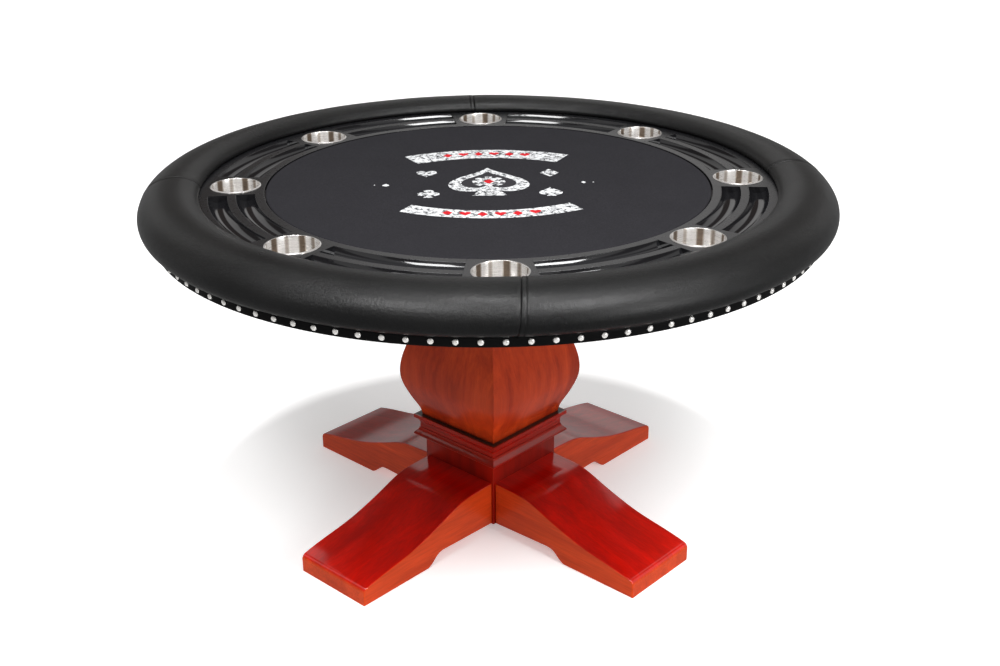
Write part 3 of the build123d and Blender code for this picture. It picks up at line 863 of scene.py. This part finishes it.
def club(x, y, size):
    leaves = [(0, 0.22), (-0.23, -0.1), (0.23, -0.1)]
    return [(0.1 * index, disc(x + size * across, y + size * up, size * 0.22))
            for index, (across, up) in enumerate(leaves)] + [(0.4, stem(x, y - size * 0.05, size))]


def diamond_outline(x, y, size):
    return [(x + 0.36 * size, y), (x, y + 0.5 * size), (x - 0.36 * size, y), (x, y - 0.5 * size)]


def diamond(x, y, size):
    return [(0, diamond_outline(x, y, size))]


def arched_bar(middle, radius, thickness, half_width, up):
    """An arched bar whose outer edge passes through (0, middle)."""
    centre = middle - up * radius
    reach = math.degrees(math.asin(half_width / radius))
    steps = 36
    turns = [math.radians(reach * (2 * step / steps - 1)) for step in range(steps + 1)]
    outer, inner = (
        [(edge * math.sin(turn), centre + up * edge * math.cos(turn)) for turn in turns]
        for edge in (radius, radius - thickness)
    )
    outline = outer + inner[::-1]
    return outline[::-1] if up > 0 else outline


def table_print():
    """A worn generic card-suit print: a spade between two arched bars, with small pips.

    Places and sizes are in millimetres from the table's middle, +Y away from the camera.
    """
    bars = [(0, arched_bar(240, 365, 64, 178, 1)), (0, arched_bar(-231, 353, 46, 176, -1))]
    suits = spade(0, 18, 176)
    suits += [(0, heart(-128, 62, 46))] + diamond(128, 60, 54)
    suits += club(-122, -72, 50) + spade(122, -66, 50)
    pips = spade(-209, -12, 15) + diamond(193, -10, 14)
    pips += diamond(-232, -12, 5) + diamond(213, -10, 5)
    ink("print_bars", bars, INK)
    ink("print_suits", suits, INK)
    ink("print_pips", pips, INK_WHOLE)
    ink("print_gaps", [(GAP_LAYER, heart(0, 16, 120, -1))], INK_GAP)
    ink("print_chip", [(CHIP_LAYER, disc(0, 2, 34, 48))], INK)
    spots = []
    for spot in range(8):
        turn = math.radians(45 * spot + 22.5)
        spots.append((MARK_LAYER, [
            (reach * math.cos(turn + swing), 2 + reach * math.sin(turn + swing))
            for reach, swing in ((34, -0.16), (34, 0.16), (25, 0.16), (25, -0.16))]))
    ink("print_chip_spots", spots, INK_GAP)
    ink("print_chip_suit", [(MARK_LAYER, diamond_outline(0, 2, 30))], INK_RED)
    # Hearts and diamonds by turns along the middle line of each bar.
    marks = []
    for index, x in enumerate((-84, -50, -17, 17, 50, 84)):
        for centre, radius, up in ((-125, 333, 1), (123, 330, -1)):
            height = centre + up * math.sqrt(radius ** 2 - x ** 2)
            mark = heart(x, height, 24) if index % 2 else diamond_outline(x, height, 28)
            marks.append((GAP_LAYER, mark))
    ink("print_marks", marks, INK_RED)


playing_pad()
table_print()


# --- floor and light ---------------------------------------------------------------
SCREEN_COUNT = 9
SCREEN_TONE = (0.66, 0.65, 0.64)
GAP_TONE = (0.05, 0.035, 0.025)
SCREEN_EDGE = (0.35, 0.55)    # where a gap ends and a screen begins, as shares of the wave
LOW_TONE = (0.30, 0.30, 0.30)
LOW_EDGE = (0.10, 0.22)       # rise of a direction where the low wall fades into the screens
CEILING_TONE = (0.36, 0.36, 0.36)
CEILING_EDGE = (0.72, 0.92)   # rise of a direction where the screens fade into the ceiling
FLOOR_REACH = 30.0            # half the floor's width, in metres
FLOOR_TONE = (0.90, 0.93)
FLOOR_GLOW = 0.36
SUN_STRENGTH = 1.6
SUN_ANGLE = 6.0               # degrees across, for a shadow with a short soft edge
LAMP_AIM = Vector((0, 0, 0.6))
LAMPS = (
    # name, plan angle, elevation, distance, width, watts
    ("key_right", -10, 50, 3.0, 0.9, 75),
    ("key_left", -78, 50, 3.0, 0.9, 60),
    ("low_right", -2, 13, 3.0, 0.9, 30),
)


def make_room():
    """A studio all round: a soft grey room with tall pale screens and darker gaps between them."""
    n = Nodes("room", room=True)
    bpy.context.scene.world = n.material
    where = n.node("ShaderNodeTexCoord")
    split = n.node("ShaderNodeSeparateXYZ")
    n.link(where.outputs["Generated"], split.inputs["Vector"])
    round_room = n.math("ARCTAN2", split.outputs["Y"], split.outputs["X"])
    wave = n.math("SINE", n.math("MULTIPLY", round_room, SCREEN_COUNT))
    screens = n.ramp(n.math("MULTIPLY_ADD", wave, 0.5, 0.5),
                     (SCREEN_EDGE[0], GAP_TONE), (SCREEN_EDGE[1], SCREEN_TONE))
    upward = n.ramp(split.outputs["Z"], (LOW_EDGE[0], 0.0), (LOW_EDGE[1], 1.0))
    overhead = n.ramp(split.outputs["Z"], (CEILING_EDGE[0], 0.0), (CEILING_EDGE[1], 1.0))
    walls = n.mix(upward, LOW_TONE, screens)
    n.link(n.mix(overhead, walls, CEILING_TONE), n.shader.inputs["Color"])
    n.value("Strength", 1.0)


def make_stage():
    """A pale floor, soft lamps and a faint sun straight above."""
    mesh = bpy.data.meshes.new("floor")
    corners = [(x * FLOOR_REACH, y * FLOOR_REACH, 0) for x, y in ((-1, -1), (1, -1), (1, 1), (-1, 1))]
    mesh.from_pydata(corners, [], [(0, 1, 2, 3)])
    floor = bpy.data.objects.new("floor", mesh)
    bpy.context.scene.collection.objects.link(floor)
    n = Nodes("pale_floor")
    spots = n.noise(n.place(), 3, 3)
    n.link(n.ramp(spots, (0.3, FLOOR_TONE[0]), (0.7, FLOOR_TONE[1])), n.shader.inputs["Base Color"])
    n.value("Roughness", 0.8)
    n.value("Emission Color", (1, 1, 1, 1))
    n.value("Emission Strength", FLOOR_GLOW)
    mesh.materials.append(n.material)
    floor.visible_glossy = False

    for name, angle, elevation, distance, width, watts in LAMPS:
        data = bpy.data.lights.new(name, "AREA")
        data.shape = "SQUARE"
        data.size = width
        data.energy = watts
        lamp = bpy.data.objects.new(name, data)
        lift = math.radians(elevation)
        lamp.location = LAMP_AIM + polar(distance * math.cos(lift), angle, distance * math.sin(lift))
        lamp.rotation_mode = "QUATERNION"
        lamp.rotation_quaternion = (LAMP_AIM - lamp.location).to_track_quat("-Z", "Y")
        bpy.context.scene.collection.objects.link(lamp)
    top = bpy.data.lights.new("top", "SUN")
    top.energy = SUN_STRENGTH
    top.angle = math.radians(SUN_ANGLE)
    bpy.context.scene.collection.objects.link(bpy.data.objects.new("top", top))
    bpy.context.scene.view_settings.view_transform = "Standard"


make_room()
make_stage()
